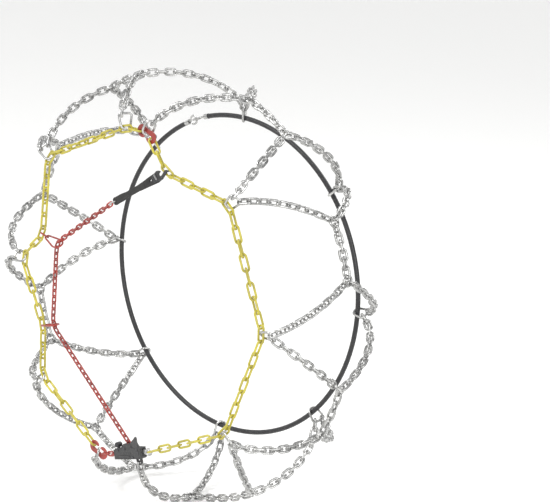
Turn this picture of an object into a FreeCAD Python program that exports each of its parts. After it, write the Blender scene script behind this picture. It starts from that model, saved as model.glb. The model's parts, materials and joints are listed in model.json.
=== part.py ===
import FreeCAD, Part
import math
import os
from FreeCAD import Matrix, Vector

# Snow chain for one car wheel, in the shape it takes when it is fitted to a 235/50 R18 tyre.
# Origin: centre of the wheel. Y: the axle, with -Y the outer face. Z: up. All sizes in millimetres.

os.makedirs("parts", exist_ok=True)

# ---- the tyre that the net wraps, measured at the centre line of the chain links ----
SIDE_Y = 117.0  # the outer side chain and the inner hoop lie this far from the wheel's middle plane
WALL_Y = 119.0  # tread chains on the tyre's side wall
WALL_R = 270.0  # radius where the side wall starts to curve into the shoulder
TREAD_R = 352.0  # tread chains on the middle of the tread
SHOULDER_POWER = 2.0  # squareness of the tyre's shoulder

# ---- net layout: angles in degrees from +X towards +Z ----
# outer corner of each plain net cell: angle and radius, as the fitted chain settles
OUTER_CORNERS = {
    "top": (97.1, 272.4),
    "right_top": (45.0, 271.0),
    "right": (2.3, 275.0),
    "right_bottom": (-37.9, 268.0),
    "left_bottom": (-137.5, 267.0),
    "left": (178.0, 254.5),
    "left_top": (137.0, 278.0),
}
# each net cell: its inner corner, and its leading and trailing junctions on the tread
CELLS = {
    "top": (90.0, 109.0, 70.0),
    "right_top": (43.0, 56.0, 30.0),
    "right": (0.5, 15.0, -14.0),
    "right_bottom": (-44.0, -28.5, -60.0),
    "bottom": (-92.0, -82.5, -105.0),
    "left_bottom": (-137.0, -122.5, -151.5),
    "left": (180.0, -166.0, 166.0),
    "left_top": (136.5, 150.0, 123.0),
}

# ---- chain links: wire diameter, inner length, inner width ----
SIDE_LINK = (3.7, 24.0, 6.2)
TREAD_LINK = (4.0, 15.9, 6.2)
TENSION_LINK = (2.8, 11.2, 3.9)
TAUT_GAP = 0.35  # least clearance between two linked bows
SLACK_FROM = 9  # runs of this many links or more may take one more than they need

# ---- rings ----
JUNCTION_RING_R, JUNCTION_WIRE_R = 8.6, 2.1
CONNECTOR_WIRE_R = 1.9
CONNECTOR_APEX_R = 8.0
CONNECTOR_BASE = (12.0, 5.5, 4.5)  # distance from the apex centre, half spread, corner radius
CONNECTOR_TILT = 40.0  # turn of a connector link about its own length
HOOK_RING_WIRE_R = 2.0
HOOK_RING_HALF = (4.5, 8.0)  # half distance between the bow centres, bow radius
HOOK_RING_LEAN = 45.0
HOOK_RING_V = 12.7  # middle of the ring, above the slot

# ---- closing and anchor hooks ----
HOOK_THICK = 3.0
HOOK_BOW_U = 10.0  # half distance between the two link seats
HOOK_SLOT = 6.4
HOOK_BRIDGE = 7.5  # width of the bar over the slot
CLOSING_HOOK_AT = (12.5, 269.2)
CLOSING_HOOK_ANGLE = -22.0
ANCHOR_HOOK_AT = (-59.9, -271.3)
ANCHOR_HOOK_ANGLE = -20.0

# ---- tension lock, in its own frame: u from the chain's entry to the eye, v up, w outwards ----
LOCK_TIP = (-21.0, -264.5)  # where the tension chain goes in
LOCK_ANGLE = 16.8
LOCK_OUTLINE = [(3, -11.3), (62, -11.3), (64, -9.3), (64, 6.8), (50, 7.3), (46, 14), (28, 14),
                (21, 7.3), (11, 7), (3, 4)]
LOCK_FIN = [(40, 12), (50, 4), (59.6, 4), (61, 23.6), (58.5, 25.5)]  # raised point of the cover
LOCK_CAVITY = 5.7  # half width of the space for the chain
LOCK_WALL = 1.6
LOCK_RUN_V = -4.6  # height of the incoming chain
LOCK_ROLLER_AT = (28.5, 5.6)
LOCK_ROLLER_R = 4.0
LOCK_WRAP_R = 10.2
LOCK_PIN_R = 1.6
PIN_CLEARANCE = 0.06
LOCK_PAWL_AT = (13.0, 3.2)
KNOB_OFFSET = (1.5, 9.0)  # the knob stands this far back from the pawl's pin, and this far above it
LOCKED_LINK = 4  # the tension chain's link that the pawl holds, counted from the anchor hook
LOCK_EYE_PIN_AT = (59.0, -1.0)
LOCK_EYE_AT = (77.4, -1.0)
LOCK_LUG_AT = (53.0, -16.2)
LOCK_RIVETS_AT = [(57.5, 4.2), (45.5, -8.4), (44.2, 9.2)]

# ---- tension chain ----
GUIDE_LOWER_BEND = (-181.5, -89.5)
GUIDE_LOWER_KINK = (-206.7, -96.1)
GUIDE_UPPER_BEND = (-180.0, 52.0)
GUIDE_UPPER_KINK = (-217.0, 60.0)
BEND_REACH = 13.0  # how far a bend in the chain spreads to each side
GUIDE_WIRE_R = 1.5
GUIDE_NEAR_R, GUIDE_FAR_R = 4.2, 9.5
GUIDE_LENGTH = 36.0  # between the two ends of its wire's centre line
GUIDE_CLEARANCE = 7.2  # chain centre line to the wire that holds it
GUIDE_LINK = (2.7, 4.9, 1.4)  # half distance between bow centres, bow radius, wire radius
STRAP_START = (-56.0, 145.0)
STRAP_ANGLE = 32.5
STRAP_KINK = (61.5, 221.0)

# ---- rubber strap, in its own frame: u from the chain's last link towards the hook ----
STRAP_RING_R, STRAP_RING_WIRE_R = 6.5, 1.2
STRAP_TAIL_U = 10.1
STRAP_TAIL_R = 6.6
STRAP_THICK = 4.0
STRAP_OUTLINE = [(12, -6.2), (26, -6.2), (40, -4.9), (66, -4.9), (76, -5.7), (97, -7), (112, -8), (118, -8),
                 (118, 8.4), (112, 8.4), (97, 7.4), (84, 6), (66, 4.8), (40, 4.8), (26, 6.2), (12, 6.2)]
HOOK_PLATE = 2.4  # thickness of the strap's hook
HOOK_BOWL, HOOK_BOWL_R = (121.5, 0.5), 8.4
PEG_R = 1.4
STAPLE_LEGS = [(114.6, 5.2), (116.2, -2.6)]
STAPLE_R = 0.9

# ---- inner hoop ----
HOOP_R = 268.0
HOOP_Y = 121.0
HOOP_CORE_R = 2.6
HOOP_SHEATH_R = 4.0
HOOP_SHUT_ANGLE = 113.0  # middle of its closure, between two connectors
HOOP_GAP = 21.5  # half length between the cable's ends
HOOP_EYE_R, HOOP_HOOK_R, HOOP_END_WIRE_R = 7.0, 4.6, 1.8
HOOP_TILT = 60.0
HOOP_OFFSET = 1.8  # a connector's apex centre lies this far outside the cable

OUTWARD = Vector(0, -1, 0)


# ---------------------------------------------------------------- small helpers
def rad(angle):
    return math.radians(angle)


def unit(vector):
    return Vector(vector) / vector.Length


def side_point(x, z, y=-SIDE_Y):
    return Vector(x, y, z)


def polar(angle, radius, y):
    return Vector(radius * math.cos(rad(angle)), y, radius * math.sin(rad(angle)))


def across(direction, towards):
    """The part of towards that is square to direction, as a unit vector."""
    return unit(towards - direction * towards.dot(direction))


def place(solid, origin, x_dir, y_dir):
    """Put a solid's own X and Y axes along two directions, with its origin at a point."""
    x = unit(x_dir)
    y = across(x, y_dir)
    z = x.cross(y)
    move = Matrix(x.x, y.x, z.x, origin.x, x.y, y.y, z.y, origin.y, x.z, y.z, z.z, origin.z, 0, 0, 0, 1)
    return solid.transformed(move, True)


def one_solid(shape):
    """The shape's only solid, with its split faces merged."""
    solids = shape.removeSplitter().Solids
    if len(solids) != 1:
        raise ValueError("a piece came out as %d solids" % len(solids))
    return solids[0]


def join(solids):
    return one_solid(solids[0].multiFuse(solids[1:]))


def export(name, solids):
    shape = solids[0] if len(solids) == 1 else Part.makeCompound(solids)
    shape.exportStep("parts/" + name + ".step")


def wire_loop(circles, wire_r):
    """Round wire bent round a list of circles (x, y, radius) in the XY plane, like a belt."""
    pieces, turns = [], []
    for (x1, y1, r1), (x2, y2, r2) in zip(circles, circles[1:] + circles[:1]):
        heading = math.degrees(math.atan2(y2 - y1, x2 - x1))
        turn = heading - math.degrees(math.acos((r1 - r2) / math.hypot(x2 - x1, y2 - y1)))
        turns.append(turn)
        start = Vector(x1, y1, 0) + polar_xy(turn, r1)
        end = Vector(x2, y2, 0) + polar_xy(turn, r2)
        pieces.append(Part.makeCylinder(wire_r, (end - start).Length, start, end - start))
    for index, (x, y, r) in enumerate(circles):
        first, last = turns[index - 1], turns[index]
        sweep = (last - first) % 360
        bow = Part.makeTorus(r, wire_r, Vector(0, 0, 0), Vector(0, 0, 1), 0, 360, sweep)
        bow.rotate(Vector(0, 0, 0), Vector(0, 0, 1), first)
        bow.translate(Vector(x, y, 0))
        pieces.append(bow)
    return join(pieces)


def polar_xy(angle, radius):
    return Vector(radius * math.cos(rad(angle)), radius * math.sin(rad(angle)), 0)


def oval(half, bow_r, wire_r):
    return wire_loop([(-half, 0, bow_r), (half, 0, bow_r)], wire_r)


def chain_link(size):
    wire, length, width = size
    return oval((length - width) / 2, (width + wire) / 2, wire / 2)


LINK_SHAPES = {size: chain_link(size) for size in (SIDE_LINK, TREAD_LINK, TENSION_LINK)}


def resample(curve, count):
    """Points that split a dense polyline into equal lengths."""
    lengths = [0.0]
    for a, b in zip(curve, curve[1:]):
        lengths.append(lengths[-1] + (b - a).Length)
    points, k = [], 0
    for i in range(count + 1):
        goal = lengths[-1] * i / count
        while k < len(curve) - 2 and lengths[k + 1] < goal:
            k += 1
        part = (goal - lengths[k]) / (lengths[k + 1] - lengths[k])
        points.append(curve[k] + (curve[k + 1] - curve[k]) * part)
    return points, lengths[-1]


class Run:
    """Links in a row: their solids, their middles and where the last one's flat face looks."""

    def __init__(self):
        self.links, self.middles, self.flat = [], [], None

    def nearest(self, point):
        """The number of the link whose middle is nearest to a point."""
        return min(range(len(self.middles)), key=lambda k: (self.middles[k] - point).Length)


def roll(frame, flat):
    """Turn of a flat face about a link's length, from the direction away from the tyre."""
    return math.degrees(math.atan2(flat.dot(frame[3]), flat.dot(frame[2])))


def rolled(curve, normal_at, before, after, count):
    """Places for a number of links along a curve, the first one's roll and the roll from link to link."""
    points = resample(curve, count)[0]
    frames = []
    for a, b in zip(points, points[1:]):
        along = unit(b - a)
        out = across(along, normal_at((a + b) / 2))
        frames.append(((a + b) / 2, along, out, along.cross(out)))
    start, end = roll(frames[0], before), roll(frames[-1], after)
    half_turns = round((90 * (count + 1) - (end - start)) / 180)
    return frames, start, (end - start + 180 * half_turns) / (count + 1)


def chain(curve, size, normal_at, before, after):
    """A run of links along a curve.

    normal_at gives the direction away from the tyre at a point. before and after are the directions
    that the neighbouring pieces' flat faces look in. Each link is turned against the one before it by
    the same angle, the one nearest a quarter turn that ends in line with the last neighbour. A long run
    takes one more link, and hangs a little slack, where that brings the angle nearer a quarter turn.
    """
    count = math.ceil(resample(curve, 1)[1] / (size[1] - TAUT_GAP))
    counts = (count, count + 1) if count >= SLACK_FROM else (count,)
    choices = [rolled(curve, normal_at, before, after, number) for number in counts]
    frames, start, step = min(choices, key=lambda choice: abs(choice[2] - 90))
    run = Run()
    for i, (middle, along, out, side) in enumerate(frames):
        angle = rad(start + step * (i + 1))
        run.flat = out * math.cos(angle) + side * math.sin(angle)
        run.middles.append(middle)
        run.links.append(place(LINK_SHAPES[size], middle, along, run.flat.cross(along)))
    return run


def straight(start, end):
    return [start + (end - start) * (i / 20) for i in range(21)]


def bow_inset(size):
    """How far a link's own bow wire lies beyond the point where it joins the next link."""
    return (size[0] + TAUT_GAP) / 2


def walk(curve, steps, count):
    """Points along a polyline whose straight distances repeat the given steps."""
    points, k = [curve[0]], 0
    for i in range(count):
        here, goal = points[-1], steps[i % len(steps)]
        low = here
        while k < len(curve) - 2 and (curve[k + 1] - here).Length < goal:
            k += 1
            low = curve[k]
        high = curve[k + 1]
        for _ in range(40):
            middle = (low + high) / 2
            low, high = (low, middle) if (middle - here).Length > goal else (middle, high)
        points.append(low)
    return points


def bending_chain(curve, size):
    """A run that bends in the plane of its flat links, from bow wire to bow wire.

    Its links stand and lie by turns. The standing ones are drawn from end to end; how far their wires
    lie apart in the flat ones is chosen so that the last one ends where the curve does.
    """
    wire, length, width = size
    standing, tightest = length + wire, length - wire - 2 * TAUT_GAP
    overshoot = curve[-1] + unit(curve[-1] - curve[-2]) * 60
    longer = curve[:-1] + [overshoot]
    pairs = math.ceil(resample(curve, 1)[1] / (standing + tightest))
    low, high = 0.5 * tightest, tightest
    for _ in range(40):
        lying = (low + high) / 2
        points = walk(longer, (standing, lying), 2 * pairs)
        past = (points[-1] - curve[-1]).dot(overshoot - curve[-1])
        low, high = (low, lying) if past > 0 else (lying, high)
    run = Run()
    for i, (a, b) in enumerate(zip(points, points[1:])):
        across_link = OUTWARD.cross(unit(b - a)) if i % 2 else OUTWARD
        run.middles.append((a + b) / 2)
        run.links.append(place(LINK_SHAPES[size], (a + b) / 2, b - a, across_link))
    return run


def side_normal(point):
    return OUTWARD


# ---------------------------------------------------------------- the tyre's surface
def shoulder(step):
    """Radius and distance from the middle plane: 0 is the side wall, 1 the middle of the tread."""
    turn = step * math.pi / 2
    y = WALL_Y * math.cos(turn) ** (2 / SHOULDER_POWER) if step < 1 else 0.0
    r = WALL_R + (TREAD_R - WALL_R) * math.sin(turn) ** (2 / SHOULDER_POWER)
    return r, y


def profile():
    """Radius and y down one side of the tyre, as a dense polyline from below the side wall."""
    low = [(WALL_R - 40 + k, WALL_Y) for k in range(40)]
    return low + [shoulder(k / 200) for k in range(201)]


PROFILE = profile()


def tyre_normal(point):
    """Direction away from the tyre at a point near its surface."""
    r = math.hypot(point.x, point.z)
    height = max(r - WALL_R, 0.0) / (TREAD_R - WALL_R)
    width = abs(point.y) / WALL_Y
    up = height ** (SHOULDER_POWER - 1) / (TREAD_R - WALL_R)
    out = width ** (SHOULDER_POWER - 1) / WALL_Y
    radial = Vector(point.x / r, 0, point.z / r)
    return unit(radial * up + Vector(0, math.copysign(out, point.y), 0))


def tread_curve(start, end):
    """A chain's path over the tyre from a point on its side wall to a point on its tread."""
    side = math.copysign(1, start.y)
    start_r = math.hypot(start.x, start.z)
    start_angle = math.degrees(math.atan2(start.z, start.x))
    end_angle = math.degrees(math.atan2(end.z, end.x))
    turn = (end_angle - start_angle + 180) % 360 - 180
    steps = [(r, y) for r, y in PROFILE if r > start_r and y > abs(end.y)]
    lengths = [0.0]
    for (r1, y1), (r2, y2) in zip(steps, steps[1:]):
        lengths.append(lengths[-1] + math.hypot(r2 - r1, y2 - y1))
    curve = []
    for (r, y), length in zip(steps, lengths):
        part = length / lengths[-1]
        curve.append(polar(start_angle + turn * part, r, side * y))
    start_off, end_off = start - curve[0], end - curve[-1]
    for i, length in enumerate(lengths):
        part = length / lengths[-1]
        curve[i] = curve[i] + start_off * (1 - part) ** 3 + end_off * part**3
    return curve


# ---------------------------------------------------------------- tread net
def junction(angle):
    return polar(angle, TREAD_R, 0.0)


def tread_run(joint_at, ring_normal, angle):
    """Links from a ring to the junction ring at an angle.

    joint_at gives the point where the first link joins the ring when it pulls in a direction.
    """
    centre = junction(angle)
    radial = unit(centre)
    approach = across(radial, centre - joint_at(radial))
    pull = radial
    for _ in range(4):
        seat = centre - approach * (JUNCTION_RING_R - JUNCTION_WIRE_R - TAUT_GAP / 2)
        path = tread_curve(joint_at(pull), seat)
        points = resample(path, 12)[0]
        pull, approach = unit(points[1] - points[0]), across(radial, points[-1] - points[-2])
    return chain(path, TREAD_LINK, tyre_normal, ring_normal, radial)


def ring_joint(bow_centre, bow_r, wire_r, normal):
    """joint_at for a chain that pulls on a round bow of a flat ring."""
    def joint_at(pull):
        return bow_centre + across(normal, pull) * bow_r - pull * (wire_r + TAUT_GAP / 2)
    return joint_at


def junction_ring(angle):
    ring = Part.makeTorus(JUNCTION_RING_R, JUNCTION_WIRE_R)
    return place(ring, junction(angle), Vector(0, 1, 0), polar(angle + 90, 1, 0))


def bridge(start_angle, end_angle):
    """The straight run round the middle of the tread between two cells."""
    inset = math.degrees((JUNCTION_RING_R - JUNCTION_WIRE_R) / TREAD_R)
    first, last = start_angle + inset, end_angle - inset
    curve = [junction(first + (last - first) * i / 60) for i in range(61)]
    return chain(curve, TREAD_LINK, tyre_normal, polar(start_angle, 1, 0), polar(end_angle, 1, 0))


# ---------------------------------------------------------------- connector links
def connector_shape():
    reach, spread, corner_r = CONNECTOR_BASE
    circles = [(0, 0, CONNECTOR_APEX_R), (reach, -spread, corner_r), (reach, spread, corner_r)]
    return wire_loop(circles, CONNECTOR_WIRE_R)


CONNECTOR = connector_shape()


class Connector:
    """A pear-shaped link that hangs two tread chains on the side chain or on the hoop."""

    def __init__(self, seat, radial, along, tilt, offset):
        out = Vector(0, math.copysign(1, seat.y), 0)
        self.centre = seat + radial * offset
        self.radial = radial
        self.along = along
        self.across = along * math.cos(rad(tilt)) + out * math.sin(rad(tilt))
        self.normal = radial.cross(self.across)
        self.solid = place(CONNECTOR, self.centre, radial, self.across)

    def run(self, sign, angle):
        """The tread chain from one of the connector's corners to a junction."""
        reach, spread, corner_r = CONNECTOR_BASE
        corner = self.centre + self.radial * reach + self.across * (sign * spread)
        return tread_run(ring_joint(corner, corner_r, CONNECTOR_WIRE_R, self.normal), self.normal, angle)


# ---------------------------------------------------------------- side chain
class Seat:
    """A place in a flat piece where a side chain's last link pulls."""

    def __init__(self, point):
        self.first = self.last = point
        self.flat = OUTWARD


class SideLink:
    """A side-chain link flat on the wheel's face; first and last are where its neighbours' wires pull."""

    def __init__(self, middle, along):
        self.middle, self.along, self.flat = middle, along, OUTWARD
        reach = SIDE_LINK[1] / 2 - SIDE_LINK[0] / 2 - TAUT_GAP
        self.first = middle - along * reach
        self.last = middle + along * reach
        self.solid = place(LINK_SHAPES[SIDE_LINK], middle, along, OUTWARD.cross(along))


def side_stops(first_seat, places, last_seat):
    """Flat links at named places between two seats, each headed halfway between its two runs."""
    points = [first_seat.last] + list(places.values()) + [last_seat.first]
    stops = {}
    for name, before, here, after in zip(places, points, points[1:], points[2:]):
        stops[name] = SideLink(here, unit(unit(here - before) + unit(after - here)))
    return stops


def side_run(start, end):
    """Links between two fixed pieces."""
    inset = unit(end.first - start.last) * bow_inset(SIDE_LINK)
    path = straight(start.last + inset, end.first - inset)
    return chain(path, SIDE_LINK, side_normal, start.flat, end.flat)


# ---------------------------------------------------------------- frames in the outer plane
class PlaneFrame:
    """A flat piece's own axes in the outer plane: u along it, v across it, w (u x v) outwards, along -Y."""

    def __init__(self, at, angle, y=-SIDE_Y):
        self.origin = side_point(*at, y)
        self.u = polar(angle, 1, 0)
        self.v = polar(angle + 90, 1, 0)

    def point(self, u, v, w=0.0):
        return self.origin + self.u * u + self.v * v + OUTWARD * w

    def direction(self, u, v, w=0.0):
        return unit(self.u * u + self.v * v + OUTWARD * w)

    def put(self, solid):
        """Place a solid drawn with X along u, Y along v and Z along w."""
        return place(solid, self.origin, self.u, self.v)


closing_frame = PlaneFrame(CLOSING_HOOK_AT, CLOSING_HOOK_ANGLE)
anchor_frame = PlaneFrame(ANCHOR_HOOK_AT, ANCHOR_HOOK_ANGLE + 180)
lock_frame = PlaneFrame(LOCK_TIP, LOCK_ANGLE)
strap_frame = PlaneFrame(STRAP_START, STRAP_ANGLE)


def plate(points, thick, base=0.0):
    """A flat plate from a closed outline in the XY plane."""
    corners = [Vector(x, y, base) for x, y in points]
    face = Part.Face(Part.makePolygon(corners + corners[:1]))
    return face.extrude(Vector(0, 0, thick))


def disc(x, y, r, base, thick):
    return Part.makeCylinder(r, thick, Vector(x, y, base))


def slot(x1, y1, x2, y2, r, base, thick):
    """A round-ended bar between two points."""
    dx, dy = x2 - x1, y2 - y1
    length = math.hypot(dx, dy)
    bar = Part.makeBox(length, 2 * r, thick, Vector(0, -r, base))
    bar.rotate(Vector(0, 0, 0), Vector(0, 0, 1), math.degrees(math.atan2(dy, dx)))
    bar.translate(Vector(x1, y1, 0))
    return join([bar, disc(x1, y1, r, base, thick), disc(x2, y2, r, base, thick)])


def round_edges(solid, radius, keep):
    """Fillet the edges that keep picks."""
    edges = [edge for edge in solid.Edges if keep(edge)]
    return solid.makeFillet(radius, edges)


# ---------------------------------------------------------------- hooks
def hook_plate():
    """Flat hook with an upside-down T slot: the bar over the slot takes a ring, each end a link."""
    base = -HOOK_THICK / 2
    half = HOOK_SLOT / 2
    left = disc(-HOOK_BOW_U, 1.5, 10.5, base, HOOK_THICK)
    right = disc(HOOK_BOW_U, 1.5, 10.5, base, HOOK_THICK)
    top = half + HOOK_BRIDGE
    bar = Part.makeBox(2 * HOOK_BOW_U, top + 4, HOOK_THICK, Vector(-HOOK_BOW_U, -4, base))
    body = join([left, right, bar])
    seats = slot(-HOOK_BOW_U, 0, HOOK_BOW_U, 0, half, base - 1, HOOK_THICK + 2)
    entry = Part.makeBox(HOOK_SLOT, 20, HOOK_THICK + 2, Vector(-half, -20, base - 1))
    body = body.cut(join([seats, entry])).Solids[0]

    def outer_rim(edge):
        box = edge.BoundBox
        flat = box.ZLength < 0.01
        middle = edge.CenterOfMass
        return flat and (abs(middle.x) > 3.0) and math.hypot(middle.x, middle.y) > 9.0

    return round_edges(body, 1.1, outer_rim)


HOOK = hook_plate()
HOOK_RING = oval(*HOOK_RING_HALF, HOOK_RING_WIRE_R)


def hook_seat(frame, side):
    """Where a link's bow wire rests in one end of the slot."""
    return Seat(frame.point(side * (HOOK_BOW_U + 0.7), 0))


class HookRing:
    """Oval ring round a hook's bar; tread chains pull on its far end."""

    def __init__(self, frame):
        lean = rad(HOOK_RING_LEAN)
        self.normal = frame.u * math.cos(lean) + OUTWARD * math.sin(lean)
        self.along = frame.v
        self.centre = frame.point(0, HOOK_RING_V)
        self.solid = place(HOOK_RING, self.centre, self.along, self.normal.cross(self.along))

    def run(self, angle):
        half, bow_r = HOOK_RING_HALF
        far_bow = self.centre + self.along * half
        return tread_run(ring_joint(far_bow, bow_r, HOOK_RING_WIRE_R, self.normal), self.normal, angle)


# ---------------------------------------------------------------- tension lock
def shell_outline(offset):
    corners = [Vector(u, v, 0) for u, v in LOCK_OUTLINE]
    wire = Part.makePolygon(corners + corners[:1])
    return wire.makeOffset2D(offset, 2) if offset else wire


def lock_slab(offset, low, high):
    face = Part.Face(shell_outline(offset))
    face.translate(Vector(0, 0, low))
    return face.extrude(Vector(0, 0, high - low))


def lock_exit():
    """Opening for the chain that leaves over the roller."""
    u, v = LOCK_ROLLER_AT
    turn = lock_exit_angle()
    box = Part.makeBox(46, 11.6, 2 * LOCK_CAVITY, Vector(-6, -5.8, -LOCK_CAVITY))
    box.rotate(Vector(0, 0, 0), Vector(0, 0, 1), turn + 90)
    start = Vector(u, v, 0) + polar_xy(turn, LOCK_WRAP_R)
    box.translate(start)
    return box


def lock_exit_angle():
    """Where on the roller the chain leaves towards the lower guide."""
    frame = lock_frame
    middle = frame.point(*LOCK_ROLLER_AT)
    target = side_point(*GUIDE_LOWER_BEND) - middle
    heading = math.degrees(math.atan2(target.dot(frame.v), target.dot(frame.u)))
    return heading - math.degrees(math.acos(LOCK_WRAP_R / target.Length))


def pin_holes(clearance, low, high):
    r = LOCK_PIN_R + clearance
    return [disc(u, v, r, low, high - low) for u, v in (LOCK_ROLLER_AT, LOCK_PAWL_AT, LOCK_EYE_PIN_AT)]


def rivet_holes(low, high):
    return [disc(u, v, 1.25, low, high - low) for u, v in LOCK_RIVETS_AT]


def lock_housing():
    floor = -LOCK_CAVITY - LOCK_WALL
    body = lock_slab(0, floor, LOCK_CAVITY)
    body = body.cut(lock_slab(-LOCK_WALL, -LOCK_CAVITY, LOCK_CAVITY + 1))
    lug = slot(*LOCK_LUG_AT, LOCK_LUG_AT[0], -10.5, 5.8, -1.8, 3.6)
    body = body.fuse(lug.cut(lock_slab(-LOCK_WALL, -LOCK_CAVITY, LOCK_CAVITY)))
    u_low = LOCK_OUTLINE[0][0] - 1
    mouth = Part.makeBox(4, 10.3, 2 * LOCK_CAVITY, Vector(u_low, -9.7, -LOCK_CAVITY))
    lever_slot = Part.makeBox(16, 12, 8.6, Vector(6, 2.5, -3.6))
    eye_gate = Part.makeBox(4, 11, 5, Vector(61, -6.5, -2.5))
    lug_hole = disc(*LOCK_LUG_AT, 4.1, -5, 10)
    tools = [mouth, lever_slot, eye_gate, lug_hole, lock_exit()]
    tools += pin_holes(PIN_CLEARANCE, floor - 1, 0) + rivet_holes(floor - 1, 0)
    return one_solid(body.cut(Part.makeCompound(tools)))


def lock_cover():
    low = LOCK_CAVITY + 0.05
    body = lock_slab(0, low, low + LOCK_WALL)
    rib = slot(12, -7, 38, -7, 1.6, low + LOCK_WALL - 0.2, 1.0)
    fin = plate(LOCK_FIN, LOCK_WALL, low)
    tools = pin_holes(PIN_CLEARANCE, 0, 20) + rivet_holes(0, 20)
    return one_solid(join([body, rib, fin]).cut(Part.makeCompound(tools)))


def headed_pin(u, v, r, head_r, head):
    low, high = -LOCK_CAVITY - LOCK_WALL, LOCK_CAVITY + LOCK_WALL + 0.1
    shank = disc(u, v, r, low - 0.6, high - low + 1.2)
    top = disc(u, v, head_r, high, head)
    bottom = disc(u, v, head_r, low - 0.05 - head, head)
    return join([shank, top, bottom])


def lock_roller():
    u, v = LOCK_ROLLER_AT
    half = LOCK_CAVITY - 0.4
    barrel = disc(u, v, LOCK_ROLLER_R, -half, 2 * half)
    return one_solid(barrel.cut(disc(u, v, LOCK_PIN_R + PIN_CLEARANCE, -half - 1, 2 * half + 2)))


def lock_pawl(tooth_u):
    u, v = LOCK_PAWL_AT
    low, thick = -3.0, 4.6
    hub = disc(u, v, 2.5, low, thick)
    arm = slot(u, v + 0.5, tooth_u, v + 0.3, 1.4, low, thick)
    tip = LOCK_RUN_V + TENSION_LINK[0] / 2 + 0.45
    tooth = plate([(tooth_u - 1.6, v), (tooth_u - 0.9, tip), (tooth_u + 0.9, tip), (tooth_u + 1.6, v)],
                  thick, low)
    hole = disc(u, v, LOCK_PIN_R + PIN_CLEARANCE, low - 1, thick + 2)
    return one_solid(join([hub, arm, tooth]).cut(hole))


def lock_lever():
    u, v = LOCK_PAWL_AT
    low, thick = 1.65, 1.8
    hub = disc(u, v, 2.5, low, thick)
    arm = slot(u, v, u - KNOB_OFFSET[0], v + KNOB_OFFSET[1] - 1.0, 1.9, low, thick)
    hole = disc(u, v, LOCK_PIN_R + PIN_CLEARANCE, low - 1, thick + 2)
    return one_solid(join([hub, arm]).cut(hole))


def lock_knob():
    """Round knob pressed over the lever's end."""
    pivot_u, pivot_v = LOCK_PAWL_AT
    u, v = pivot_u - KNOB_OFFSET[0], pivot_v + KNOB_OFFSET[1]
    knob = disc(u, v, 4.4, -3.2, 10.4)
    knob = round_edges(knob, 1.4, lambda edge: edge.Closed)
    socket = slot(pivot_u, pivot_v, u, v - 1.0, 1.95, 1.6, 1.9)
    return one_solid(knob.cut(socket))


def lock_spring():
    """Hairpin spring round the pawl's pin, between the lever and the cover."""
    u, v = LOCK_PAWL_AT
    coil_r, wire_r, level = 2.2, 0.4, 4.5
    sweep = 250
    bow = Part.makeTorus(coil_r, wire_r, Vector(0, 0, 0), Vector(0, 0, 1), 0, 360, sweep)
    bow.rotate(Vector(0, 0, 0), Vector(0, 0, 1), 55)
    legs = []
    for turn, sign in ((55, -1), (55 + sweep, 1)):
        start = polar_xy(turn, coil_r)
        legs.append(Part.makeCylinder(wire_r, 4.5, start, polar_xy(turn + 90, sign)))
    spring = join([bow] + legs)
    spring.translate(Vector(u, v, level))
    return spring


def lock_eye():
    """Flat eye that takes the side chain, pinned in the lock's end."""
    u1, v1 = LOCK_EYE_PIN_AT
    u2, v2 = LOCK_EYE_AT
    body = slot(u1, v1, u2, v2, 4.0, -2, 4)
    body = join([body, disc(u2, v2, 6.6, -2, 4)])
    pin_hole = disc(u1, v1, LOCK_PIN_R + PIN_CLEARANCE, -3, 6)
    eye_hole = disc(u2, v2, 3.6, -3, 6)
    return one_solid(body.cut(Part.makeCompound([pin_hole, eye_hole])))


def lug_joint(pull):
    """Where the first link joins the lock's lug: its bow rests in the lug's hole."""
    return lock_frame.point(*LOCK_LUG_AT) + pull * (1.1 + bow_inset(TREAD_LINK))


# ---------------------------------------------------------------- tension chain
def bend(before, at, after):
    """A rounded bend in the tension chain."""
    first, last = at + unit(before - at) * BEND_REACH, at + unit(after - at) * BEND_REACH
    return [first * (1 - k / 40) ** 2 + at * (k / 20 * (1 - k / 40)) + last * (k / 40) ** 2
            for k in range(41)]


def guide_ring(pull, far, breadth):
    """Pear-shaped ring that holds the tension chain; far is its wire's centre at the chain's end."""
    reach = GUIDE_LENGTH - GUIDE_NEAR_R - GUIDE_FAR_R
    shape = wire_loop([(0, 0, GUIDE_NEAR_R), (reach, 0, GUIDE_FAR_R)], GUIDE_WIRE_R)
    return place(shape, far - pull * (GUIDE_LENGTH - GUIDE_NEAR_R), pull, breadth)


# ---------------------------------------------------------------- rubber strap
def strap_body():
    base = -STRAP_THICK / 2
    tail = disc(STRAP_TAIL_U, 0, STRAP_TAIL_R, base, STRAP_THICK)
    band = plate(STRAP_OUTLINE, STRAP_THICK, base)
    hole = disc(STRAP_TAIL_U, 0, 2.0, base - 1, STRAP_THICK + 2)
    body = join([tail, band]).cut(hole)
    ring_side = STRAP_TAIL_U - STRAP_RING_R + 1.2
    body = body.common(Part.makeBox(200, 60, 20, Vector(ring_side, -30, -10)))
    finger_slot = slot(98, 0.5, 102, 1.5, 1.5, base - 1, STRAP_THICK + 2)
    legs = [disc(u, v, STAPLE_R + 0.05, base - 1, STRAP_THICK + 2) for u, v in STAPLE_LEGS]
    return one_solid(body.cut(Part.makeCompound([finger_slot] + legs)))


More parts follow.
